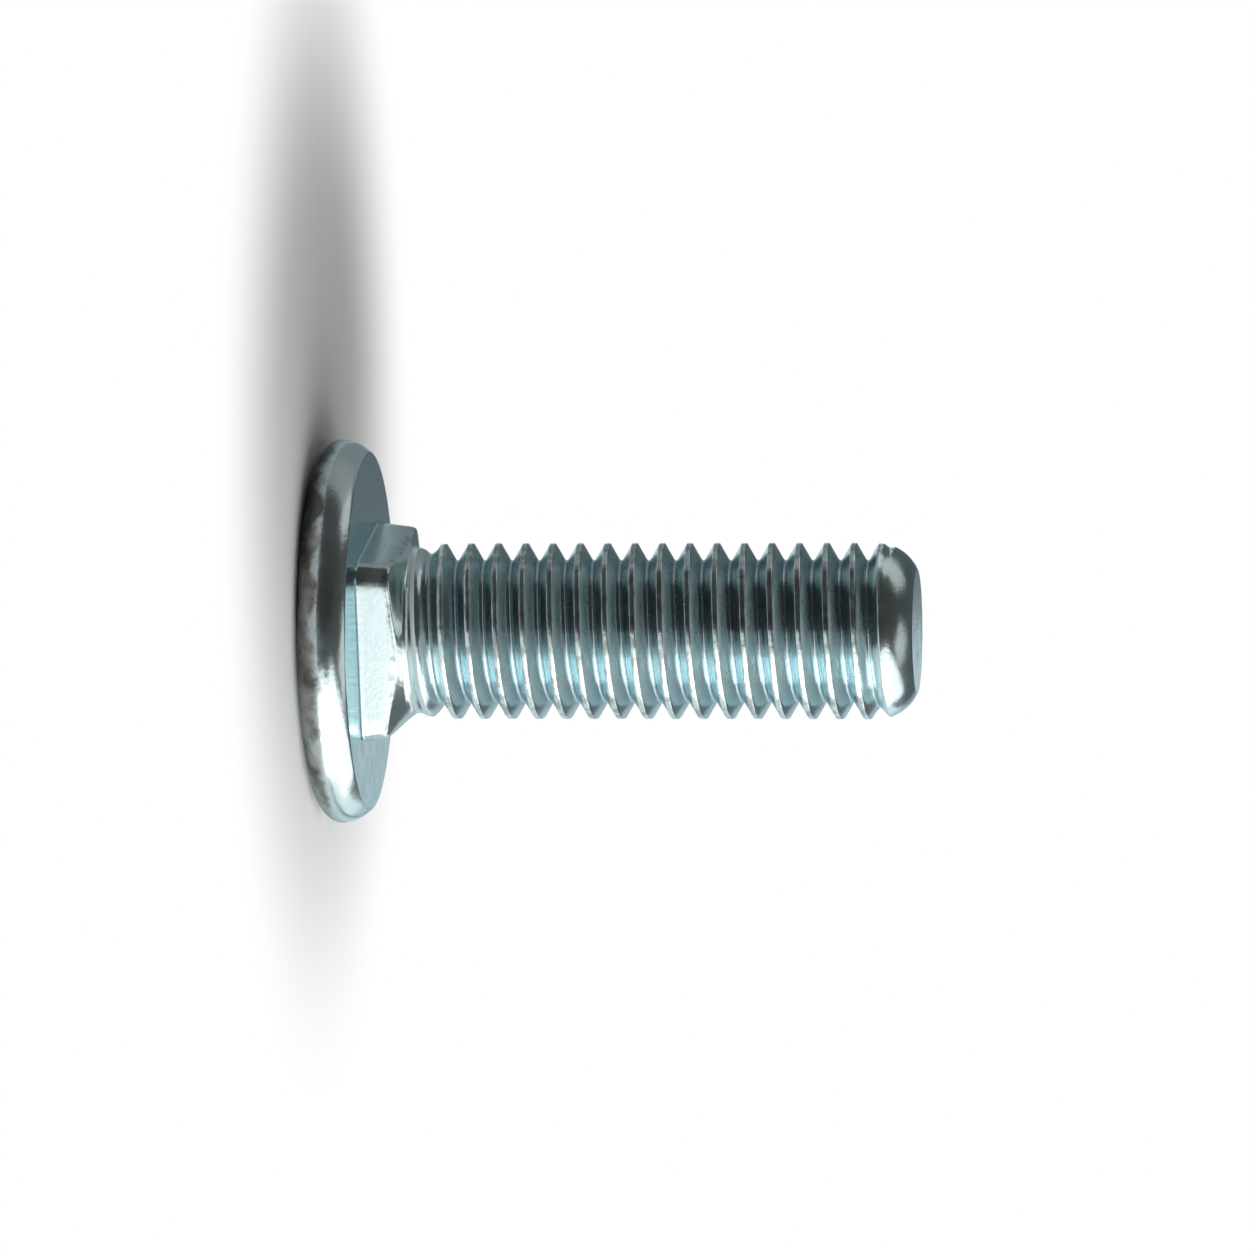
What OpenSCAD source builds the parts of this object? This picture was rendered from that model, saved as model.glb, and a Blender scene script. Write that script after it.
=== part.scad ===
// Flat head bolt, M8 x 25, with a short square neck.
// One cold headed piece with a rolled thread. The origin is on the axis, in the plane of the head's
// bearing face, and +Z runs along the shank to its tip. The bolt stands on the flat top of its head.

/* [Thread and length] */
// Length from the bearing face to the tip, by which the bolt is sold
bolt_length = 25; // [16:0.5:40]
// Major diameter of the thread
thread_d = 8; // [7.7:0.05:8.2]
// Pitch of the right hand thread
thread_pitch = 1.25; // [1:0.05:1.5]
// Angle about the axis at which the crest's middle line leaves the end of the neck
thread_start = 138; // [0:1:359]
// Diameter of the plain shank at the end of the neck
plain_d = 7.6; // [7.2:0.05:7.6]
// Length over which the thread grows from the plain shank to its full depth
runout_l = 1.6; // [0.6:0.1:2.5]

/* [Head] */
// Diameter of the head
head_d = 17.5; // [15:0.1:21]
// Thickness of the head
head_h = 2.3; // [2:0.05:3]
// Distance from the bearing face down to the head's widest circle
rim_z = 1.3; // [0.8:0.05:1.5]
// Radius of the bulging side wall, between the widest circle and the bearing face
wall_r = 1.7; // [1.55:0.05:3]
// Radius of the edge between the side wall and the bearing face
edge_r = 0.2; // [0.1:0.05:0.6]
// Width of the rounding from the widest circle to the flat top
top_round = 1.6; // [0.8:0.05:3]

/* [Square neck] */
// Width across the neck's flats, at the bearing face
neck_w = 8.4; // [8:0.05:8.6]
// How much each flat nears the axis, as a share of its rise
neck_draft = 0.1; // [0:0.01:0.12]
// Length of the neck's four edges, up to the sloping ledge
neck_edge_l = 1.45; // [1.2:0.05:2.4]
// Radius of the neck's four edges, at the bearing face
neck_edge_r = 0.9; // [0.3:0.05:1.2]
// Length of the ledge that slopes from the edges down to the shank
ledge_l = 0.6; // [0.3:0.05:1]

/* [Tip] */
// Diameter of the flat end of the tip
tip_d = 5.6; // [5:0.1:6]
// Radius of the rounding between the thread and the flat end
tip_r = 2; // [1.8:0.1:4]

/* [Hidden] */
zinc = [0.70, 0.75, 0.77];
// Proportions of a 60 degree metric thread
depth_share = 0.6134;
crest_share = 1 / 8;
root_share = 1 / 6;
// Flat ring that is left around the shank where the ledge ends
ledge_land = 0.1;
steps_per_turn = 40;
arc_steps = 12;
round_fn = 96;
thread_r = thread_d / 2;
neck_end = neck_edge_l + ledge_l;

// Points of an arc about centre, with half axes a and b, between two angles
function arc(centre, a, b, start, end) =
    [for (i = [0:arc_steps])
        let (t = start + (end - start) * i / arc_steps)
        centre + [a * cos(t), b * sin(t)]];

// The head is a revolve: a flat bearing face, a small edge, a bulging wall and a softly rounded top.
// The edge's arc is tangent to the bearing face and to the wall.
module head() {
    head_r = head_d / 2;
    wall_c = [head_r - wall_r, -rim_z];
    edge_reach = sqrt(pow(wall_r - edge_r, 2) - pow(rim_z - edge_r, 2));
    edge_turn = atan2(rim_z - edge_r, edge_reach);
    edge_c = [wall_c[0] + edge_reach, -edge_r];
    rotate_extrude($fn = round_fn)
        polygon(concat(
            [[0, 0]],
            arc(edge_c, edge_r, edge_r, 90, edge_turn),
            arc(wall_c, wall_r, wall_r, edge_turn, 0),
            arc([head_r - top_round, -rim_z], top_round, head_h - rim_z, 0, -90),
            [[0, -head_h]]));
}

module round_square(w, r) {
    square([w, w - 2 * r], center = true);
    square([w - 2 * r, w], center = true);
    for (x = [-1, 1], y = [-1, 1])
        translate([x, y] * (w / 2 - r))
            circle(r, $fn = round_fn);
}

// The neck starts inside the head and narrows with its draft. A cone cuts the ledge at its other end.
module neck() {
    sunk = head_h / 2;
    height = sunk + neck_end;
    land_r = plain_d / 2 + ledge_land;
    function width(z) = neck_w - 2 * neck_draft * z;
    corner_reach = ((neck_w / 2 - neck_edge_r) * sqrt(2) + neck_edge_r) * width(neck_edge_l) / neck_w;
    slope = (corner_reach - land_r) / ledge_l;
    translate([0, 0, -sunk])
        intersection() {
            linear_extrude(height, scale = width(neck_end) / width(-sunk))
                scale(width(-sunk) / neck_w)
                    round_square(neck_w, neck_edge_r);
            cylinder(h = height, r1 = land_r + slope * height, r2 = land_r, $fn = round_fn);
        }
}

// Radius of the shank at height z, where the full thread would have radius r
function shank_radius(z, r) =
    let (
        grown = min(1, (z - neck_end) / runout_l),
        tip_turn = acos(1 - (thread_r - tip_d / 2) / tip_r),
        tip_rise = max(0, z - bolt_length + tip_r * sin(tip_turn)),
        limit = thread_r - tip_r + sqrt(tip_r * tip_r - tip_rise * tip_rise))
    z == neck_end ? plain_d / 2
    : z == bolt_length ? tip_d / 2
    : min(limit, plain_d / 2 + grown * (r - plain_d / 2));

// The shank is one helical strip, one pitch high. Each step along it holds four points, at both sides
// of the crest and of the root, and its upper edge is the lower edge one turn later. Points past the
// neck or the tip, or within half a step of them, are drawn in to the circle at that end.
module shank() {
    crest_w = crest_share * thread_pitch;
    root_w = root_share * thread_pitch;
    root_r = thread_r - depth_share * thread_pitch;
    root_start = (thread_pitch - root_w) / 2;
    strip = [
        [thread_r, -crest_w / 2], [thread_r, crest_w / 2],
        [root_r, root_start], [root_r, root_start + root_w]];
    count = len(strip);
    step_rise = thread_pitch / steps_per_turn;
    steps = steps_per_turn * (ceil((bolt_length - neck_end) / thread_pitch) + 3);

    function drawn_in(z) =
        z < neck_end + step_rise / 2 ? neck_end : z > bolt_length - step_rise / 2 ? bolt_length : z;
    function strip_point(i, j) =
        let (
            z = drawn_in(neck_end + strip[j][1] + step_rise * i - 2 * thread_pitch),
            r = shank_radius(z, strip[j][0]),
            angle = thread_start + 360 * i / steps_per_turn)
        [r * cos(angle), r * sin(angle), z];
    function at(i, j) = j < count ? i * count + j : (i + steps_per_turn) * count;

    points = [for (i = [0:steps + steps_per_turn], j = [0:count - 1]) strip_point(i, j)];
    function has_area(face) =
        points[face[0]] != points[face[1]]
        && points[face[1]] != points[face[2]]
        && points[face[2]] != points[face[0]];

    sides = [for (i = [0:steps - 1], j = [0:count - 1]) each [
        [at(i, j), at(i, j + 1), at(i + 1, j)],
        [at(i, j + 1), at(i + 1, j + 1), at(i + 1, j)]]];
    neck_face = [for (i = [0:steps_per_turn - 1]) at(i, 0)];
    tip_face = [for (i = [0:steps_per_turn - 1]) at(steps + steps_per_turn - i, 0)];
    polyhedron(points, concat([for (face = sides) if (has_area(face)) face], [neck_face, tip_face]));
}

module bolt() {
    color(zinc) {
        head();
        neck();
        shank();
    }
}

bolt();
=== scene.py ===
"""Flat head bolt with a square neck: its fine surface, its zinc finish, and the studio round it."""

from typing import NamedTuple

import bpy
import numpy as np
from mathutils import Matrix, Vector


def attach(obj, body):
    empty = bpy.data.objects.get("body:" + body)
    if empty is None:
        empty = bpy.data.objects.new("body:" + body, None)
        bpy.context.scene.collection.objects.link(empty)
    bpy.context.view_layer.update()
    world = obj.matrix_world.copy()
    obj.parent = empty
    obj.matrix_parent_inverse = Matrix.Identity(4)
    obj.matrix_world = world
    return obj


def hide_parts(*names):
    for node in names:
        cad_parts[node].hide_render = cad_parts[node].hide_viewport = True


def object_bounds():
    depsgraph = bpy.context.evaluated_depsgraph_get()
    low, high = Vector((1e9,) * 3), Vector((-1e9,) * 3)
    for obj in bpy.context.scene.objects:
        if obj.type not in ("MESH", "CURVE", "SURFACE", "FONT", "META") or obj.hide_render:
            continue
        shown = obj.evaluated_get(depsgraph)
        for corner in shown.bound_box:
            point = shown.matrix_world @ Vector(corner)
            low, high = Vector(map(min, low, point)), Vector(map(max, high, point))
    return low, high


bl_info = {
    "name": "Flat Head Bolt",
    "version": (1, 0, 0),
    "blender": (4, 5, 0),
    "location": "3D View > Sidebar > Bolt",
    "description": "Builds a zinc plated flat head bolt and the studio that it stands in",
    "category": "Object",
}

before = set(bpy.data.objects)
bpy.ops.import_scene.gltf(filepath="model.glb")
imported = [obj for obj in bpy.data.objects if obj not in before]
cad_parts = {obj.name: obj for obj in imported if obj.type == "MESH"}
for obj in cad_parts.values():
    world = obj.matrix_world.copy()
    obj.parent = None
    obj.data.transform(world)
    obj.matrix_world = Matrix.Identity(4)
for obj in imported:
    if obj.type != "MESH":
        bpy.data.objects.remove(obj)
CAD_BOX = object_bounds()
CAD_LOW, CAD_HIGH = CAD_BOX

MM = 0.001
PHOTO_PIXELS = 1250

# Steps of the surface's grid: columns round the axis, and rows along each stretch of the outline
COLUMNS = 144
ARC_ROWS = 14
FLAT_ROWS = 8
EDGE_ROWS = 6
FLANK_ROWS = 4
# Points over each edge of the thread's crest, and over its root
CREST_POINTS = 4
ROOT_POINTS = 8
# A row this far from a rounding keeps the flat beside it flat when the surface is shaded smooth
HOLD = 0.03 * MM
# Points closer than this are one point
WELD = 1e-8

# Proportions of a 60 degree metric thread, as shares of its pitch
THREAD_DEPTH = 0.6134
CREST_HALF_WIDTH = 0.09
ROOT_ROUND = 0.0967
FLANK_TURN = 60
# Turns of the thread's strip that start below the neck's end, and all that it has to spare
TURNS_BELOW = 2
SPARE_TURNS = 4
# Share of the thread's depth over which the wear of its crest fades out
CREST_WEAR = 0.15

# The soft hollows: how many sines are added, what brings their mean to about 1, and the fixed draws
SINES = 12
SINES_GAIN = 2.4
HOLLOW_SEED = 4

# The painted shade in the grooves goes with this power of their depth, and the crown is this much
# duller than a groove's bottom
GROOVE_SHADE_POWER = 1.4
CROWN_DULLNESS = 2.5
# Roughness that the glossiest patches of the plate lose, and that the dullest gain
PATCH_GLOSS = 0.03
PATCH_DULLNESS = 0.06

# How squarely a direction faces the room's dark side, as a cosine, where the room is lightest and
# where it is darkest
LIGHT_FACING = -0.6
DARK_FACING = 0.85
PAINT_ROUGHNESS = 0.9
CARD_STEPS = 48


class Lamp(NamedTuple):
    """A soft lamp, by its distance from the bolt in millimetres and by angles in degrees.

    The turn counts from the camera's side, the way that angles about Z grow.
    """

    name: str
    distance: float
    turn: float
    elevation: float
    half_width: float
    half_height: float


LAMPS = (
    Lamp("strip", distance=120, turn=67, elevation=4.5, half_width=25, half_height=10),
    Lamp("fill", distance=120, turn=32, elevation=4.5, half_width=10, half_height=10),
    Lamp("side", distance=200, turn=78, elevation=36, half_width=42, half_height=20),
    Lamp("back", distance=300, turn=124, elevation=10, half_width=28, half_height=9.5),
    Lamp("rear", distance=300, turn=166, elevation=10, half_width=14, half_height=9.5),
    Lamp("top", distance=200, turn=60, elevation=78, half_width=15, half_height=15),
    Lamp("edge", distance=300, turn=-105, elevation=28, half_width=17, half_height=28),
)


def length(name, description, default_mm):
    """A length property. Blender keeps it in metres, and it is given here in millimetres."""
    return bpy.props.FloatProperty(
        name=name, description=description, default=default_mm * MM, min=0, precision=5,
        subtype="DISTANCE", unit="LENGTH")


def colour(name, description, default):
    """A colour property, in linear red, green and blue."""
    return bpy.props.FloatVectorProperty(
        name=name, description=description, default=default, size=3, min=0, max=1,
        subtype="COLOR")


def share(name, description, default):
    """A property from 0 to 1."""
    return bpy.props.FloatProperty(
        name=name, description=description, default=default, min=0, max=1, subtype="FACTOR")


def level(name, description, default):
    """A brightness property, where 1 is as bright as plain white."""
    return bpy.props.FloatProperty(
        name=name, description=description, default=default, min=0, precision=4)


def angle(name, description, default_degrees):
    """An angle property. Blender keeps it in radians, and it is given here in degrees."""
    return bpy.props.FloatProperty(
        name=name, description=description, default=np.radians(default_degrees),
        subtype="ANGLE", unit="ROTATION")


class BoltSizes(bpy.types.PropertyGroup):
    """The bolt's sizes. The overall ones come from the frame."""

    tip_height: length("Tip height", "From the bearing face to the tip", CAD_HIGH.z / MM)
    head_thickness: length(
        "Head thickness", "From the bearing face to the head's top", -CAD_LOW.z / MM)
    head_diameter: length("Head diameter", "Across the head", (CAD_HIGH.x - CAD_LOW.x) / MM)
    rim_depth: length("Rim depth", "From the bearing face down to the head's widest circle", 1.3)
    wall_radius: length("Wall radius", "Bulge of the head's side wall", 1.7)
    face_edge: length("Face edge", "Radius between the side wall and the bearing face", 0.2)
    top_round: length("Top round", "Width of the rounding around the head's top", 1.6)
    neck_width: length("Neck width", "Across the square neck's flats, at the bearing face", 8.4)
    neck_edge_radius: length("Neck edge radius", "Radius of the neck's four edges", 0.9)
    neck_edge_length: length("Neck edge length", "From the bearing face to the ledge", 1.45)
    neck_draft: share(
        "Neck draft", "How much each flat nears the axis, as a share of its rise", 0.1)
    neck_fillet: length("Neck fillet", "Radius where the neck leaves the bearing face", 0.12)
    ledge_length: length(
        "Ledge length", "Rise of the ledge from the neck's edges to the shank", 0.6)
    ledge_bow: share(
        "Ledge bow", "How much of a cone's bow the neck's sides have where they end", 0.4)
    ledge_tilt: length(
        "Ledge tilt", "How much higher the ledge is on one corner, and lower opposite", 0.3)
    tilt_turn: angle("Tilt turn", "Direction of the corner on which the ledge is highest", 135)
    side_rounding: length(
        "Side rounding", "From the ledge down the neck's side, to where the rounding starts", 0.3)
    ledge_rounding: length(
        "Ledge rounding", "From the neck's side along the ledge, to where the rounding ends", 0.15)
    plain_diameter: length("Plain diameter", "Shank where the thread begins", 7.6)
    runout: length("Run-out", "Length over which the thread grows to its full depth", 1.6)
    thread_diameter: length("Thread diameter", "Major diameter of the thread", 8)
    pitch: length("Pitch", "Rise of the thread in one turn", 1.25)
    thread_start: angle("Thread start", "Where the crest leaves the end of the neck", 138)
    crest_round: length("Crest round", "Radius of the crest's two edges", 0.05)
    tip_diameter: length("Tip diameter", "Flat end of the tip", 5.6)
    tip_radius: length("Tip radius", "Rounding between the thread and the flat end", 2)
    tip_plain: length("Tip plain", "Length beside the tip without a groove", 0.8)
    tip_fade: length("Tip fade", "Length over which the thread's groove ends there", 1.3)
    tip_plain_diameter: length(
        "Tip plain diameter", "Shank beside the tip, before its rounding", 7.86)
    waviness: length("Waviness", "Depth of the soft hollows that forging leaves", 0.012)
    wavelength: length("Wavelength", "From one soft hollow to the next", 3.2)
    wavy_start: length("Wavy start", "From the axis to where the soft hollows begin", 7.2)
    wavy_fade: length("Wavy fade", "Distance over which they grow to their full depth", 1)


class ZincFinish(bpy.types.PropertyGroup):
    """Colours and gloss of the zinc plate."""

    tint: colour("Tint", "Zinc where it is clean", (0.53, 0.635, 0.65))
    warm_tint: colour(
        "Warm tint", "Faint straw colour in patches of the passivation", (0.62, 0.62, 0.56))
    warmth: share("Warmth", "How much of the straw colour the strongest patches have", 0.2)
    # Painted shade: the zinc is painted darker towards the bottom of the thread's grooves, where
    # shade falls.
    groove_tint: colour(
        "Groove tint", "Zinc at the bottom of the thread's grooves", (0.375, 0.455, 0.475))
    # Painted shade: the head's crown, where it meets the floor, is painted darker. The crown's
    # greater roughness is real dullness.
    crown_tint: colour(
        "Crown tint", "Dull zinc on the rounding of the head's crown", (0.42, 0.42, 0.4))
    crown_spots: colour("Crown spots", "Dark spots on the head's crown", (0.15, 0.145, 0.13))
    # These set where the crown is painted darker and turns duller
    crown_depth: length(
        "Crown depth", "From the bearing face down to where the head's crown turns dull", 1.2)
    crown_fade: length("Crown fade", "Height over which the crown turns dull", 0.3)
    crown_stray: length("Crown stray", "How far up and down the dull crown's limit strays", 0.4)
    glance_tint: colour(
        "Glance tint", "How much of each colour the plate keeps at a glancing angle",
        (0.66, 0.84, 0.9))
    worn_tint: colour("Worn tint", "Zinc in the nicks along crests and edges", (0.3, 0.33, 0.33))
    wear: share("Wear", "Strength of the nicks along crests and edges", 0.8)
    gloss_roughness: share("Roughness", "Roughness of the clean plate", 0.19)
    dulling: share("Dulling", "Roughness that grooves and nicks add to it", 0.04)
    streaks: share("Streaks", "Strength of the fine streaks round the bolt", 0.25)
    grain: share("Grain", "Strength of the plate's fine grain", 0.35)


class StudioSetup(bpy.types.PropertyGroup):
    """The floor, the cards, the lamps and the view of the photograph."""

    floor_colour: colour("Floor colour", "Colour of the plain floor", (0.74, 0.74, 0.74))
    floor_size: length("Floor size", "Side of the square floor", 3600)
    shade_shift: length("Shade shift", "From the bolt to the middle of the floor's own shade", 8)
    white_start: length(
        "White start", "From there to where the floor starts to pass into white", 10)
    white_end: length("White end", "From there to where the floor is plain white", 30)
    shade_turn: angle(
        "Shade turn", "Side that the floor's own shade is shifted to, from the camera", -90)
    card_distance: length("Card distance", "From the bolt's axis to the cards beside it", 32)
    card_height: length("Card height", "Height of both cards", 24)
    card_start: angle("Card start", "Direction of the grey card's far end, from the camera", -155)
    card_meet: angle("Card meet", "Direction in which the grey card meets the dark card", -85)
    card_end: angle("Card end", "Direction of the dark card's near end", 2)
    grey_card_colour: colour("Grey card colour", "Colour of the grey card", (0.34, 0.34, 0.34))
    dark_card_colour: colour("Dark card colour", "Colour of the dark card", (0.07, 0.07, 0.07))
    strip_radiance: level(
        "Strip radiance", "Brightness of the low strip lamp at the bolt's side", 7.2)
    fill_radiance: level(
        "Fill radiance", "Brightness of the low lamp between the strip and the camera", 1.4)
    side_radiance: level(
        "Side radiance", "Brightness of the wide soft lamp above the strip", 1.8)
    back_radiance: level(
        "Back radiance", "Brightness of the low soft lamp behind the strip", 1.1)
    rear_radiance: level(
        "Rear radiance", "Brightness of the low soft lamp behind the bolt", 0.6)
    top_radiance: level("Top radiance", "Brightness of the small soft lamp above the bolt", 0.8)
    edge_radiance: level("Edge radiance", "Brightness of the weak lamp on the far side", 0.65)
    room_light: level("Room light", "Brightness of the room at its lighter end", 0.2)
    room_dark: level("Room dark", "Brightness of the room at its darker end", 0.07)
    dark_turn: angle("Dark turn", "Direction of the room's darker end, from the camera", -45)
    dark_height: angle("Dark height", "Elevation of the room's darker end", 15)
    light_colour: colour("Light colour", "Colour of the room at its lighter end", (0.96, 0.98, 1))
    dark_colour: colour("Dark colour", "Colour of the room at its darker end", (0.92, 0.92, 0.88))
    view_azimuth: angle("View azimuth", "Direction from the bolt to the camera, about Z", 254)
    view_elevation: angle("View elevation", "Height of the camera above the horizon", 6.6)
    view_distance: length("View distance", "From the camera to the point it aims at", 420)
    aim_height: length("Aim height", "Height on the axis at the middle of the picture", 11.67)
    pixels_per_mm: bpy.props.FloatProperty(
        name="Pixels per millimetre", description="Scale of the picture, 1250 pixels wide",
        default=22, min=1)
    axis_drop: bpy.props.FloatProperty(
        name="Axis drop", description="Pixels from the picture's middle down to the bolt's axis",
        default=6)


def arc(centre, half_axes, start, end, rows=ARC_ROWS):
    """Points of an arc: the centre plus each half axis times the cosine or sine of the angle."""
    turn = np.radians(np.linspace(start, end, rows + 1))
    return np.column_stack([
        centre[0] + half_axes[0] * np.cos(turn),
        centre[1] + half_axes[1] * np.sin(turn)])


def square_reach(theta, half_width, corner):
    """Distance from the axis to the outline of a square with round corners, in each direction.

    It is the half width over the cosine of the angle to the nearest flat's middle, as far as the
    flat goes. Past it, the ray meets the corner's circle, which is the far root of a quadratic.
    """
    off_flat = np.abs((theta + np.pi / 4) % (np.pi / 2) - np.pi / 4)
    on_flat = half_width / np.cos(off_flat)
    inner = half_width - corner
    to_corner = inner * np.sqrt(2)
    off_corner = np.pi / 4 - off_flat
    root = np.maximum(corner**2 - (to_corner * np.sin(off_corner))**2, 0)
    on_corner = to_corner * np.cos(off_corner) + np.sqrt(root)
    return np.where(np.tan(off_flat) * half_width <= inner, on_flat, on_corner)


def rounded(before, corner, after, cut_before, cut_after, rows=EDGE_ROWS):
    """Rounds one corner of an outline that differs in each column.

    The corner is replaced by a parabola that starts and ends at a given distance from it: the
    weighted mean of start, corner and end, with weights (1-t)^2, 2t(1-t) and t^2.
    """
    def towards(point, distance):
        """The corner plus a step of that length in the point's direction."""
        step = point - corner
        return corner + step / np.linalg.norm(step, axis=-1, keepdims=True) * distance

    start, end = towards(before, cut_before), towards(after, cut_after)
    t = np.linspace(0, 1, rows + 1)[:, None, None]
    return (1 - t)**2 * start + 2 * t * (1 - t) * corner + t**2 * end


def between(start, end, rows, keep_end=False):
    """Rows from start towards end: start plus an even share of the way. The end is left out."""
    t = np.linspace(0, 1, rows + 1)[:None if keep_end else -1, None, None]
    return start + (end - start) * t


def column_angles():
    """The angle of each column about the axis: a full turn times its number over the count."""
    return 2 * np.pi * np.arange(COLUMNS) / COLUMNS


def head_outline(s):
    """Rows of (distance from the axis, height) over the head, from its top to its bearing face.

    The top is flat, then a quarter of an ellipse leads to the widest circle, an arc bulges from
    there to the bearing face, and a small arc that is tangent to both makes the edge. That arc's
    middle lies the edge's radius below the face, and the difference of both radii from the middle
    of the bulge.
    """
    head_r = s.head_diameter / 2
    flat_r = head_r - s.top_round
    wall = (head_r - s.wall_radius, -s.rim_depth)
    reach = np.sqrt((s.wall_radius - s.face_edge)**2 - (s.rim_depth - s.face_edge)**2)
    edge_turn = np.degrees(np.arctan2(s.rim_depth - s.face_edge, reach))
    edge = (wall[0] + reach, -s.face_edge)
    flat = np.column_stack([
        np.linspace(0, flat_r - HOLD, FLAT_ROWS),
        np.full(FLAT_ROWS, -s.head_thickness)])
    return np.vstack([
        flat,
        arc((flat_r, -s.rim_depth), (s.top_round, s.head_thickness - s.rim_depth), -90, 0),
        arc(wall, (s.wall_radius, s.wall_radius), 0, edge_turn)[1:],
        arc(edge, (s.face_edge, s.face_edge), edge_turn, 90, EDGE_ROWS)[1:],
        [[edge[0] - HOLD, 0]]])


def neck_rows(s, theta, face_r):
    """Rows over the bearing face and the square neck, up to the start of the shank.

    The face's rows pass from the edge's circle to the neck's square outline. Each column then has
    a fillet, the neck's side, a rounded edge and the ledge. The neck's outline shrinks in
    proportion to its height, and the ledge is a cone, so a side ends where the falling line of the
    one meets the falling line of the other. That bow is lessened by a share, and a tilt that goes
    with the cosine of the angle lifts the ledge on one corner.
    """
    zero = np.zeros_like(theta)
    reach = square_reach(theta, s.neck_width / 2, s.neck_edge_radius)
    neck_end = s.neck_edge_length + s.ledge_length
    plain_r = s.plain_diameter / 2
    taper = 2 * s.neck_draft / s.neck_width
    corner_reach = reach.max() * (1 - taper * s.neck_edge_length)
    slope = (corner_reach - plain_r) / s.ledge_length
    side_top = (plain_r + slope * neck_end - reach) / (slope - taper * reach)
    side_top = s.neck_edge_length + s.ledge_bow * (side_top - s.neck_edge_length)
    outwards = (reach - plain_r) / (corner_reach - plain_r)
    side_top += s.ledge_tilt * np.cos(theta - s.tilt_turn) * outwards
    narrowed = reach * (1 - taper * side_top)

    edge_circle = np.column_stack([zero + face_r, zero])
    fillet_corner = np.column_stack([reach, zero])
    fillet_foot = np.column_stack([reach + s.neck_fillet, zero])
    side_corner = np.column_stack([narrowed, side_top])
    ledge_end = np.column_stack([zero + plain_r, zero + neck_end])

    fillet = rounded(edge_circle, fillet_corner, side_corner, s.neck_fillet, s.neck_fillet)
    edge = rounded(fillet_corner, side_corner, ledge_end, s.side_rounding, s.ledge_rounding)
    return np.concatenate([
        between(edge_circle, fillet_foot, FLAT_ROWS)[1:],
        fillet,
        between(fillet[-1], edge[0], EDGE_ROWS)[1:],
        edge,
        between(edge[-1], ledge_end, FLANK_ROWS, keep_end=True)[1:]])


def thread_profile(s):
    """One pitch of the full thread as (radius, height): a crest with two round edges and a root.

    The edges and the root are arcs. Along the axis a point is the arc's radius times the sine of
    its turn, and towards or from the axis it is that radius times one less the cosine. Straight
    flanks join the arcs.
    """
    turn = np.radians(np.linspace(0, FLANK_TURN, CREST_POINTS))
    crest_h = (CREST_HALF_WIDTH * s.pitch - s.crest_round * np.tan(turn[-1] / 2)
               + s.crest_round * np.sin(turn))
    crest_r = s.thread_diameter / 2 - s.crest_round * (1 - np.cos(turn))
    root_turn = np.radians(np.linspace(-FLANK_TURN, FLANK_TURN, ROOT_POINTS))
    root_round = ROOT_ROUND * s.pitch
    root_h = s.pitch / 2 + root_round * np.sin(root_turn)
    root_r = (s.thread_diameter / 2 - THREAD_DEPTH * s.pitch
              + root_round * (1 - np.cos(root_turn)))
    flank = np.linspace(0, 1, FLANK_ROWS + 2)[1:-1]
    down_h = crest_h[-1] + (root_h[0] - crest_h[-1]) * flank
    down_r = crest_r[-1] + (root_r[0] - crest_r[-1]) * flank
    radius = np.concatenate([crest_r[::-1], crest_r, down_r, root_r, down_r[::-1]])
    height = np.concatenate([-crest_h[::-1], crest_h, down_h, root_h, s.pitch - down_h[::-1]])
    return radius, height


def shank_radius(s, z, full_r):
    """Radius of the shank: the full thread's, faded beside the neck and the tip, and rounded there.

    Beside the neck it is the plain radius plus a growing share of the difference to the full
    thread, and beside the tip it returns to a plain radius in the same way. At the tip it is no
    more than a circle's arc allows, which is the arc's centre plus the square root of its radius
    squared less the height above its start squared.
    """
    thread_r, plain_r = s.thread_diameter / 2, s.plain_diameter / 2
    neck_end = s.neck_edge_length + s.ledge_length
    grown = np.clip((z - neck_end) / s.runout, 0, 1)
    turn = np.arccos(1 - (thread_r - s.tip_diameter / 2) / s.tip_radius)
    over = np.maximum(z - s.tip_height + s.tip_radius * np.sin(turn), 0)
    limit = thread_r - s.tip_radius + np.sqrt(s.tip_radius**2 - over**2)
    faded = np.clip((s.tip_height - s.tip_plain - z) / s.tip_fade, 0, 1)
    end_r = s.tip_plain_diameter / 2
    threaded = plain_r + grown * (full_r - plain_r)
    return np.minimum(end_r + faded * (threaded - end_r), limit)


def thread_strip(s):
    """The threaded shank as a helical strip a pitch high, whose upper edge is its lower a turn on.

    Point (i, j) has the angle of column i and the height of profile point j plus the thread's rise
    up to i. Points past an end, or within half a step of it, are drawn in to that end's circle.
    """
    full_r, full_h = thread_profile(s)
    neck_end = s.neck_edge_length + s.ledge_length
    rise = s.pitch / COLUMNS
    turns = int(np.ceil((s.tip_height - neck_end) / s.pitch)) + SPARE_TURNS
    i = np.arange((turns + 1) * COLUMNS + 1)[:, None]
    below = s.pitch * (TURNS_BELOW + s.thread_start / (2 * np.pi))
    z = neck_end + full_h[None, :] + rise * i - below
    z = np.where(z < neck_end + rise / 2, neck_end, z)
    z = np.where(z > s.tip_height - rise / 2, s.tip_height, z)
    r = shank_radius(s, z, full_r[None, :])
    r = np.where(z == neck_end, s.plain_diameter / 2, r)
    r = np.where(z == s.tip_height, s.tip_diameter / 2, r)
    theta = column_angles()[i % COLUMNS]
    points = np.stack([r * np.cos(theta), r * np.sin(theta), z], axis=-1)

    count = len(full_h)
    index = np.arange(points.shape[0] * count).reshape(-1, count)
    low = index[:turns * COLUMNS + 1]
    high = np.column_stack([low[:, 1:], index[COLUMNS:COLUMNS + len(low), 0]])
    quads = np.stack([low[:-1], low[1:], high[1:], high[:-1]], axis=-1).reshape(-1, 4)
    depth = (s.thread_diameter / 2 - r) / (THREAD_DEPTH * s.pitch)
    return points.reshape(-1, 3), quads, np.clip(depth, 0, 1).reshape(-1)


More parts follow.
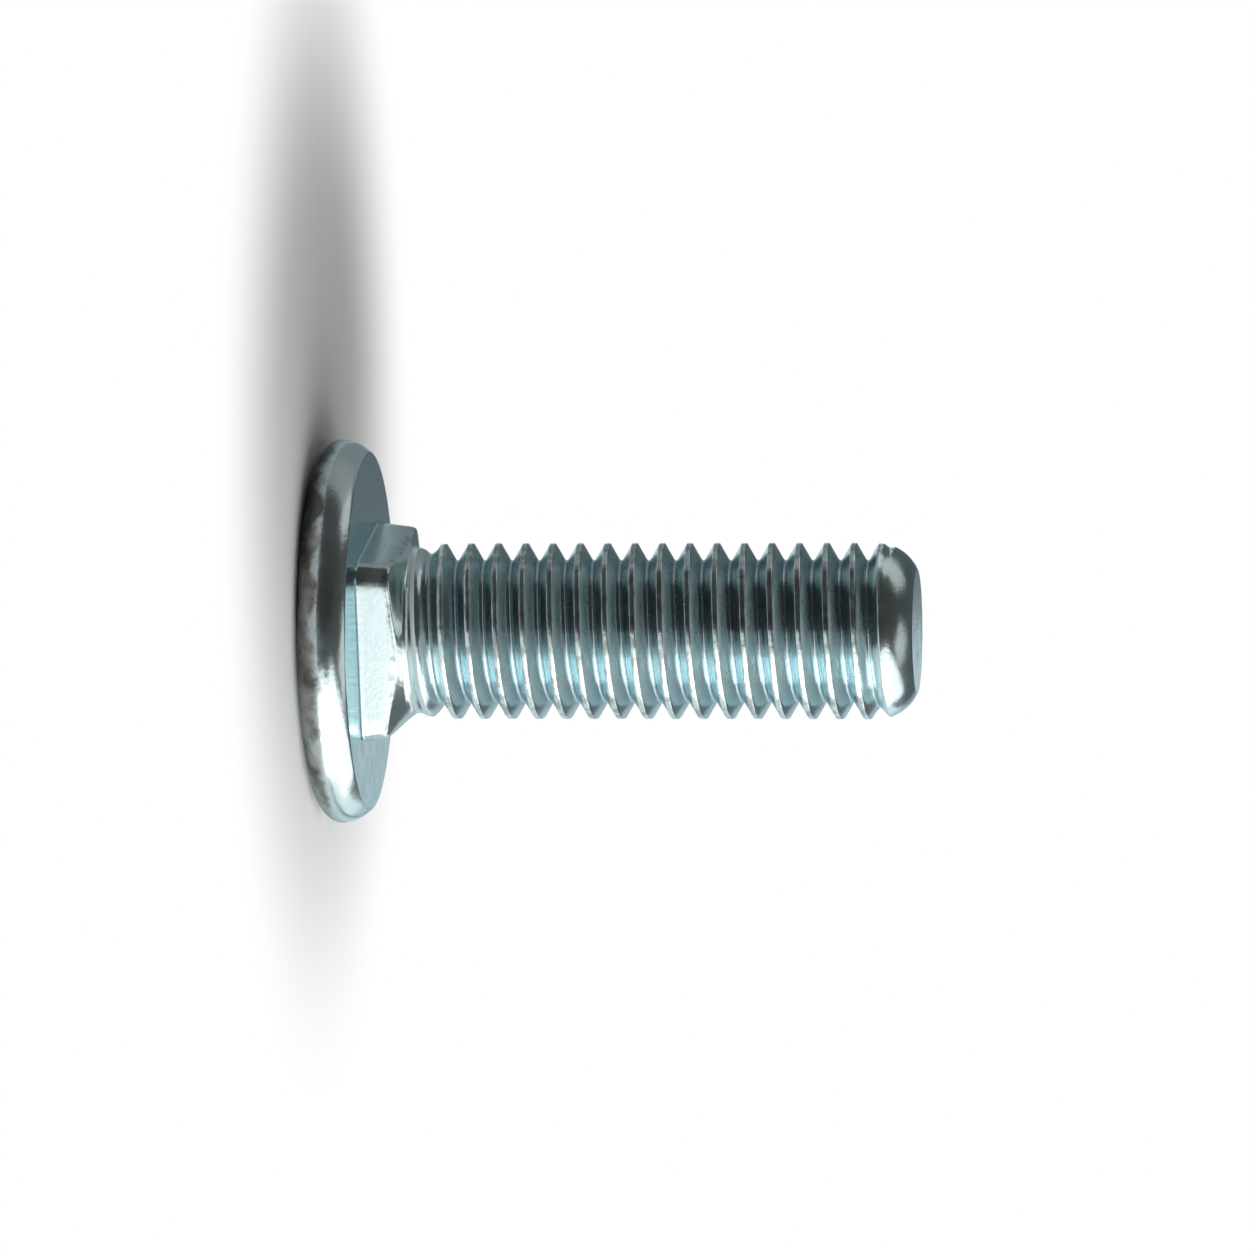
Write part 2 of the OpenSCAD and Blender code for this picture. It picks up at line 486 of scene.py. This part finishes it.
def ring_grid(rows, theta):
    """Points and quads of closed rings, from rows of (distance from the axis, height).

    A point is its distance from the axis times the cosine and sine of its column's angle.
    """
    points = np.stack([
        rows[..., 0] * np.cos(theta), rows[..., 0] * np.sin(theta), rows[..., 1]], axis=-1)
    index = np.arange(rows.shape[0] * COLUMNS).reshape(-1, COLUMNS)
    beside = np.roll(index, -1, axis=1)
    quads = np.stack([index[:-1], beside[:-1], beside[1:], index[1:]], axis=-1)
    return points.reshape(-1, 3), quads.reshape(-1, 4)


def waves(points, wavelength):
    """A smooth field, about -1 to 1: the mean of sines along random directions, in fixed draws."""
    draws = np.random.default_rng(HOLLOW_SEED)
    directions = draws.normal(size=(SINES, 3))
    directions *= 2 * np.pi / wavelength / np.linalg.norm(directions, axis=1, keepdims=True)
    phases = draws.uniform(0, 2 * np.pi, SINES)
    return np.sin(points @ directions.T + phases).mean(axis=1) * SINES_GAIN


def welded(points, quads):
    """Merges equal points.

    A quad with one side of no length becomes a triangle, and one with more of them is left out.
    """
    _, first, same = np.unique(
        np.round(points / WELD).astype(np.int64), axis=0, return_index=True, return_inverse=True)
    quads = same.reshape(-1)[quads]
    has_side = quads != np.roll(quads, -1, axis=1)
    sides = has_side.sum(axis=1)
    whole = quads[sides == 4]
    thin = sides == 3
    return first, whole.tolist() + quads[thin][has_side[thin]].reshape(-1, 3).tolist()


def ring_wear(outline_rows):
    """How far each row of the head and neck lies on an edge that wears.

    It is half a sine over the rows of the head's edge, which ends a row before the outline does,
    and over those of the neck's edge, which comes after the face, the fillet and the side.
    """
    hump = np.sin(np.pi * np.linspace(0, 1, EDGE_ROWS + 1))
    return np.concatenate([
        np.zeros(outline_rows - EDGE_ROWS - 2), hump, [0],
        np.zeros(FLAT_ROWS + 2 * EDGE_ROWS - 1), hump, np.zeros(FLANK_ROWS)])


def hollowed(s, points):
    """Draws the head's rim in towards the axis by the waviness times one less the waves."""
    off_axis = np.linalg.norm(points[:, :2], axis=1)
    on_rim = np.clip((off_axis - s.wavy_start) / s.wavy_fade, 0, 1)
    hollow = s.waviness * on_rim * (waves(points, s.wavelength) - 1)
    points[:, :2] *= (1 + hollow / np.maximum(off_axis, s.wavy_start))[:, None]
    return points


def bolt_mesh(s):
    """The bolt as one closed mesh: rings over head and neck, the thread's strip, the tip's disc."""
    theta = column_angles()
    outline = head_outline(s)
    head = np.repeat(outline[:, None, :], COLUMNS, axis=1)
    rows = np.concatenate([head, neck_rows(s, theta, outline[-1, 0])])
    tip_r = s.tip_diameter / 2
    tip = np.column_stack([
        np.append([tip_r, tip_r - HOLD], np.linspace(tip_r - HOLD, 0, FLAT_ROWS)[1:]),
        np.full(FLAT_ROWS + 1, s.tip_height)])
    tip = np.repeat(tip[:, None, :], COLUMNS, axis=1)

    ring_points, ring_quads = ring_grid(rows, theta)
    strip_points, strip_quads, strip_depth = thread_strip(s)
    tip_points, tip_quads = ring_grid(tip, theta)
    points = np.vstack([ring_points, strip_points, tip_points])
    quads = np.vstack([
        ring_quads,
        strip_quads + len(ring_points),
        tip_quads + len(ring_points) + len(strip_points)])

    depth = np.concatenate([np.zeros(len(ring_points)), strip_depth, np.zeros(len(tip_points))])
    crest = np.clip(1 - strip_depth / CREST_WEAR, 0, 1)
    edge = np.concatenate([
        np.repeat(ring_wear(len(outline)), COLUMNS), crest, np.zeros(len(tip_points))])
    first, faces = welded(points, quads)

    mesh = bpy.data.meshes.new("bolt_surface")
    mesh.from_pydata(hollowed(s, points[first]).tolist(), [], faces)
    for name, values in (("groove", depth), ("edge", edge)):
        mesh.attributes.new(name, "FLOAT", "POINT").data.foreach_set("value", values[first])
    mesh.shade_smooth()
    mesh.validate()
    return mesh


def add_node(tree, kind, inputs=None, **settings):
    """Adds a shader node, sets its properties and the values of its named or numbered inputs."""
    node = tree.nodes.new(kind)
    for name, value in settings.items():
        setattr(node, name, value)
    for key, value in (inputs or {}).items():
        socket = node.inputs[key]
        if isinstance(value, bpy.types.NodeSocket):
            tree.links.new(value, socket)
        elif socket.type == "RGBA":
            socket.default_value = (*value, 1)
        else:
            socket.default_value = value
    return node


def mixed_colour(tree, factor, low, high):
    """A colour between low and high, either of which may be a colour or another node's output."""
    node = add_node(tree, "ShaderNodeMix", data_type="RGBA")
    for key, value in (("Factor_Float", factor), ("A_Color", low), ("B_Color", high)):
        socket = next(x for x in node.inputs if x.identifier == key)
        if isinstance(value, bpy.types.NodeSocket):
            tree.links.new(value, socket)
        else:
            socket.default_value = value if key == "Factor_Float" else (*value, 1)
    return next(x for x in node.outputs if x.identifier == "Result_Color")


def ranged(tree, value, start, end, to_start=0, to_end=1, **settings):
    """A value's place between start and end, put between two other values and held there."""
    node = add_node(tree, "ShaderNodeMapRange", {
        "Value": value, "From Min": start, "From Max": end, "To Min": to_start, "To Max": to_end},
        **settings)
    return node.outputs["Result"]


def worked(tree, operation, first, second, **settings):
    """The sum, product or other operation of two numbers."""
    return add_node(
        tree, "ShaderNodeMath", {0: first, 1: second}, operation=operation, **settings).outputs[0]


def noise(tree, place, scale, detail):
    """Noise over a place in metres, so a scale of 1000 gives about one spot to a millimetre."""
    return add_node(tree, "ShaderNodeTexNoise", {
        "Vector": place, "Scale": scale, "Detail": detail}).outputs["Fac"]


def new_material(name):
    """A material with an empty node tree, and that tree."""
    material = bpy.data.materials.new(name)
    material.use_nodes = True
    material.node_tree.nodes.clear()
    return material, material.node_tree


def new_group(name, inputs, outputs):
    """An empty shader node group with named sockets, and its input and output nodes."""
    group = bpy.data.node_groups.new(name, "ShaderNodeTree")
    for socket_name, kind, default in inputs:
        socket = group.interface.new_socket(socket_name, in_out="INPUT", socket_type=kind)
        if default is not None:
            socket.default_value = default
    for socket_name, kind in outputs:
        group.interface.new_socket(socket_name, in_out="OUTPUT", socket_type=kind)
    return group, group.nodes.new("NodeGroupInput"), group.nodes.new("NodeGroupOutput")


def patches_group():
    """Soft patches: noise of the given size over the given place, put out as a mask from 0 to 1."""
    group, given, result = new_group(
        "Patches", [("Place", "NodeSocketVector", None), ("Size", "NodeSocketFloat", 1.0)],
        [("Mask", "NodeSocketFloat")])
    soft = add_node(group, "ShaderNodeTexNoise", {
        "Vector": given.outputs["Place"], "Scale": given.outputs["Size"],
        "Detail": 3, "Roughness": 0.6})
    mask = ranged(group, soft.outputs["Fac"], start=0.35, end=0.65)
    group.links.new(mask, result.inputs["Mask"])
    return group


def patches(tree, group, place, size):
    """The mask of one use of the group for soft patches, in spots to a metre."""
    node = add_node(tree, "ShaderNodeGroup", node_tree=group)
    tree.links.new(place, node.inputs["Place"])
    node.inputs["Size"].default_value = size
    return node.outputs["Mask"]


def crown_mask(tree, finish, place):
    """Where the head's crown is painted darker and is duller: below a height whose limit strays
    with a noise.
    """
    stray = ranged(
        tree, noise(tree, place, scale=700, detail=4), start=0.3, end=0.7,
        to_start=-finish.crown_stray, to_end=finish.crown_stray)
    height = add_node(tree, "ShaderNodeSeparateXYZ", {"Vector": place}).outputs["Z"]
    height = worked(tree, "ADD", height, stray)
    return ranged(
        tree, height, start=-finish.crown_depth, end=-finish.crown_depth - finish.crown_fade)


def zinc_bump(tree, finish, place):
    """Fine streaks round the bolt, with the plate's grain over them, as a normal.

    The streaks are a noise that is stretched thirty times as long round the bolt as along it.
    """
    stretched = add_node(tree, "ShaderNodeMapping", {"Vector": place, "Scale": (300, 300, 9000)})
    streaks = add_node(tree, "ShaderNodeBump", {
        "Strength": finish.streaks, "Distance": 0.01 * MM,
        "Height": noise(tree, stretched.outputs["Vector"], scale=1, detail=2)})
    grain = add_node(tree, "ShaderNodeBump", {
        "Strength": finish.grain, "Distance": 0.02 * MM,
        "Height": noise(tree, place, scale=5200, detail=2), "Normal": streaks.outputs["Normal"]})
    return grain.outputs["Normal"]


def zinc_material(finish):
    """Zinc plate: tinted metal, duller in the grooves, nicks and on the head's crown, with painted
    shade on the grooves and the crown, and darker nicks.

    The base colour is the clean tint with straw patches, then the crown's painted shade, the
    grooves' painted shade and the nicks' worn colour over it, each by its mask. The roughness is
    the plate's own, a little less or more in patches, plus a share where a groove, the crown or a
    nick dulls it.
    """
    material, tree = new_material("zinc_plate")
    place = add_node(tree, "ShaderNodeTexCoord").outputs["Object"]
    groove = add_node(tree, "ShaderNodeAttribute", attribute_name="groove").outputs["Fac"]
    edge = add_node(tree, "ShaderNodeAttribute", attribute_name="edge").outputs["Fac"]
    group = patches_group()
    crown = crown_mask(tree, finish, place)
    nicks = ranged(
        tree, noise(tree, place, scale=1500, detail=3), start=0.47, end=0.58,
        to_end=finish.wear)
    nicked = worked(tree, "MULTIPLY", edge, nicks)

    straw = ranged(tree, patches(tree, group, place, size=260), 0, 1, to_end=finish.warmth)
    clean = mixed_colour(tree, straw, finish.tint, finish.warm_tint)
    spots = ranged(tree, noise(tree, place, scale=620, detail=4), start=0.44, end=0.6)
    # Painted shade on the crown near the floor, mottled with dark spots
    crown_shade_colour = mixed_colour(tree, spots, finish.crown_tint, finish.crown_spots)
    base = mixed_colour(tree, crown, clean, crown_shade_colour)
    # Painted shade towards the bottoms of the thread's grooves
    groove_bottom_shade = worked(tree, "POWER", groove, GROOVE_SHADE_POWER)
    base = mixed_colour(tree, groove_bottom_shade, base, finish.groove_tint)
    base = mixed_colour(tree, nicked, base, finish.worn_tint)

    crown_dullness = worked(tree, "MULTIPLY", crown, CROWN_DULLNESS)
    dull = worked(tree, "MAXIMUM", groove, crown_dullness)
    dull = worked(tree, "MAXIMUM", dull, nicked)
    dulled = worked(tree, "MULTIPLY", dull, finish.dulling)
    own = ranged(
        tree, patches(tree, group, place, size=900), 0, 1,
        to_start=finish.gloss_roughness - PATCH_GLOSS,
        to_end=finish.gloss_roughness + PATCH_DULLNESS)
    shader = add_node(tree, "ShaderNodeBsdfPrincipled", {
        "Base Color": base, "Metallic": 1.0, "Roughness": worked(tree, "ADD", own, dulled),
        "Normal": zinc_bump(tree, finish, place), "Specular Tint": tuple(finish.glance_tint)})
    add_node(tree, "ShaderNodeOutputMaterial", {"Surface": shader.outputs["BSDF"]})
    return material


def direction(azimuth, elevation):
    """The unit vector with that azimuth about Z, from +X, and that elevation above the horizon."""
    return Vector((
        np.cos(elevation) * np.cos(azimuth), np.cos(elevation) * np.sin(azimuth),
        np.sin(elevation)))


def add_lamp(setup, lamp):
    """Adds a rectangular soft lamp that faces the bolt.

    Each side is twice the distance times the tangent of its half angle, and the power is the
    radiance times the area times pi.
    """
    name = lamp.name + "_softbox"
    distance = lamp.distance * MM
    data = bpy.data.lights.new(name, "AREA")
    data.shape = "RECTANGLE"
    data.size = 2 * distance * np.tan(np.radians(lamp.half_width))
    data.size_y = 2 * distance * np.tan(np.radians(lamp.half_height))
    data.energy = getattr(setup, lamp.name + "_radiance") * data.size * data.size_y * np.pi
    softbox = bpy.data.objects.new(name, data)
    softbox.visible_camera = False
    bpy.context.collection.objects.link(softbox)
    towards = direction(setup.view_azimuth + np.radians(lamp.turn), np.radians(lamp.elevation))
    softbox.location = Vector((0, 0, setup.aim_height)) + towards * distance
    softbox.rotation_mode = "QUATERNION"
    softbox.rotation_quaternion = towards.to_track_quat("Z", "Y")


def matt_paint(tree, paint_colour):
    """The shader of a plain paint without gloss."""
    return add_node(tree, "ShaderNodeBsdfPrincipled", {
        "Base Color": tuple(paint_colour), "Roughness": PAINT_ROUGHNESS,
        "Specular IOR Level": 0.0}).outputs["BSDF"]


def floor_paint(setup):
    """Pale paint that shows the bolt's shadow near it, and passes into plain white further away.

    The share of white is a smooth step of the level distance from a point beside the bolt. It is
    seen by the camera, in gloss and through glass. Diffuse light meets the paint everywhere.
    """
    material, tree = new_material("floor_paint")
    place = add_node(tree, "ShaderNodeTexCoord").outputs["Object"]
    shade_way = direction(setup.view_azimuth + setup.shade_turn, 0)
    moved = add_node(tree, "ShaderNodeVectorMath", {
        0: place, 1: shade_way * setup.shade_shift}, operation="SUBTRACT").outputs[0]
    flat = add_node(
        tree, "ShaderNodeVectorMath", {0: moved, 1: (1, 1, 0)}, operation="MULTIPLY").outputs[0]
    distance = add_node(tree, "ShaderNodeVectorMath", {0: flat}, operation="LENGTH")
    away = ranged(
        tree, distance.outputs["Value"], setup.white_start, setup.white_end,
        interpolation_type="SMOOTHSTEP")
    path = add_node(tree, "ShaderNodeLightPath").outputs
    seen = worked(tree, "ADD", path["Is Camera Ray"], path["Is Glossy Ray"])
    seen = worked(tree, "ADD", seen, path["Is Transmission Ray"], use_clamp=True)
    white_share = worked(tree, "MULTIPLY", seen, away)
    white = add_node(tree, "ShaderNodeEmission", {"Color": (1, 1, 1), "Strength": 1.0})
    mix = add_node(tree, "ShaderNodeMixShader", {
        0: white_share, 1: matt_paint(tree, setup.floor_colour), 2: white.outputs["Emission"]})
    add_node(tree, "ShaderNodeOutputMaterial", {"Surface": mix.outputs["Shader"]})
    return material


def add_mesh(name, points, faces, material):
    """Adds an object with a mesh of the given points and faces, in one material."""
    mesh = bpy.data.meshes.new(name)
    mesh.from_pydata(points, [], faces)
    mesh.materials.append(material)
    made = bpy.data.objects.new(name, mesh)
    bpy.context.collection.objects.link(made)
    return made


def add_floor(setup):
    """A plain square floor under the bolt's head."""
    half, height = setup.floor_size / 2, CAD_LOW.z
    corners = [
        (-half, -half, height), (half, -half, height), (half, half, height), (-half, half, height)]
    floor = add_mesh("floor", corners, [(0, 1, 2, 3)], floor_paint(setup))


def add_card(setup, name, start, end, card_colour):
    """A low card that stands on the floor and is bent round the bolt, between two directions.

    It is a band of a cylinder about the bolt's axis: the distance times the cosine and sine of the
    direction. It shows only in gloss: the camera doesn't see it, and it throws no shadow.
    """
    turn = setup.view_azimuth + np.linspace(start, end, CARD_STEPS + 1)
    low = np.column_stack([
        setup.card_distance * np.cos(turn), setup.card_distance * np.sin(turn),
        np.full(len(turn), CAD_LOW.z)])
    high = low + (0, 0, setup.card_height)
    index = np.arange(CARD_STEPS)
    quads = np.column_stack([index, index + len(turn), index + len(turn) + 1, index + 1])
    material, tree = new_material(name)
    add_node(tree, "ShaderNodeOutputMaterial", {"Surface": matt_paint(tree, card_colour)})
    card = add_mesh(name, np.vstack([low, high]).tolist(), quads.tolist(), material)
    card.visible_camera = False
    card.visible_diffuse = False
    card.visible_shadow = False


def add_room(setup):
    """The room round the stage.

    It darkens in proportion to the cosine of the angle between a direction and its dark side.
    """
    world = bpy.data.worlds.new("dim_room")
    bpy.context.scene.world = world
    world.use_nodes = True
    tree = world.node_tree
    tree.nodes.clear()
    way = add_node(tree, "ShaderNodeTexCoord").outputs["Generated"]
    dark_way = direction(setup.view_azimuth + setup.dark_turn, setup.dark_height)
    facing = add_node(
        tree, "ShaderNodeVectorMath", {0: way, 1: dark_way}, operation="DOT_PRODUCT")
    darkness = ranged(tree, facing.outputs["Value"], LIGHT_FACING, DARK_FACING)
    brightness = ranged(tree, darkness, 0, 1, to_start=setup.room_light, to_end=setup.room_dark)
    room_colour = mixed_colour(tree, darkness, setup.light_colour, setup.dark_colour)
    background = add_node(
        tree, "ShaderNodeBackground", {"Color": room_colour, "Strength": brightness})
    add_node(tree, "ShaderNodeOutputWorld", {"Surface": background.outputs["Background"]})


def add_camera(setup):
    """The photograph's view: the bolt lies across the picture, with its head on the left.

    The camera's right is the shank's direction and its up is level, so the picture is turned a
    quarter. The lens is the sensor's width times the distance over the width of what is seen.
    """
    back = direction(setup.view_azimuth, setup.view_elevation)
    up = direction(setup.view_azimuth - np.pi / 2, 0)
    right = up.cross(back)
    data = bpy.data.cameras.new("photo_camera")
    pixel = MM / setup.pixels_per_mm
    data.lens = data.sensor_width * setup.view_distance / (PHOTO_PIXELS * pixel)
    data.clip_start = 10 * MM
    camera = bpy.data.objects.new("photo_camera", data)
    bpy.context.collection.objects.link(camera)
    aim = Vector((0, 0, setup.aim_height)) + up * setup.axis_drop * pixel
    turned = Matrix((right, up, back)).transposed().to_4x4()
    camera.matrix_world = Matrix.Translation(aim + back * setup.view_distance) @ turned
    bpy.context.scene.camera = camera


class BOLT_OT_add_bolt(bpy.types.Operator):
    """Add the bolt's fine surface with its zinc finish"""

    bl_idname = "bolt.add_bolt"
    bl_label = "Add Bolt"

    def execute(self, context):
        mesh = bolt_mesh(context.scene.bolt_sizes)
        mesh.materials.append(zinc_material(context.scene.zinc_finish))
        bolt = bpy.data.objects.new("zinc_bolt", mesh)
        context.collection.objects.link(bolt)
        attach(bolt, "root")
        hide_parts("bolt")
        return {"FINISHED"}


class BOLT_OT_set_studio(bpy.types.Operator):
    """Set up the floor, the cards, the lamps and the camera"""

    bl_idname = "bolt.set_studio"
    bl_label = "Set Up Studio"

    def execute(self, context):
        setup = context.scene.studio_setup
        add_floor(setup)
        add_card(setup, "grey_card", setup.card_start, setup.card_meet, setup.grey_card_colour)
        add_card(setup, "dark_card", setup.card_meet, setup.card_end, setup.dark_card_colour)
        add_room(setup)
        for lamp in LAMPS:
            add_lamp(setup, lamp)
        context.scene.view_settings.view_transform = "Standard"
        add_camera(setup)
        return {"FINISHED"}


class BOLT_PT_panel(bpy.types.Panel):
    """Lists the operators and the sizes and colours that they use"""

    bl_idname = "BOLT_PT_panel"
    bl_label = "Flat Head Bolt"
    bl_space_type = "VIEW_3D"
    bl_region_type = "UI"
    bl_category = "Bolt"

    def draw(self, context):
        for operator in OPERATORS:
            self.layout.operator(operator.bl_idname)
        for name in PROPERTY_GROUPS:
            group = getattr(context.scene, name)
            box = self.layout.box()
            for key in group.bl_rna.properties.keys():
                if key not in ("rna_type", "name"):
                    box.prop(group, key)


PROPERTY_GROUPS = {
    "bolt_sizes": BoltSizes, "zinc_finish": ZincFinish, "studio_setup": StudioSetup}
OPERATORS = (BOLT_OT_add_bolt, BOLT_OT_set_studio)


def register():
    for name, group in PROPERTY_GROUPS.items():
        bpy.utils.register_class(group)
        setattr(bpy.types.Scene, name, bpy.props.PointerProperty(type=group))
    for operator in OPERATORS:
        bpy.utils.register_class(operator)
    bpy.utils.register_class(BOLT_PT_panel)


def unregister():
    bpy.utils.unregister_class(BOLT_PT_panel)
    for operator in reversed(OPERATORS):
        bpy.utils.unregister_class(operator)
    for name, group in PROPERTY_GROUPS.items():
        delattr(bpy.types.Scene, name)
        bpy.utils.unregister_class(group)


def main():
    """Makes the bolt and the studio."""
    register()
    bpy.ops.bolt.add_bolt()
    bpy.ops.bolt.set_studio()


if __name__ == "__main__":
    main()
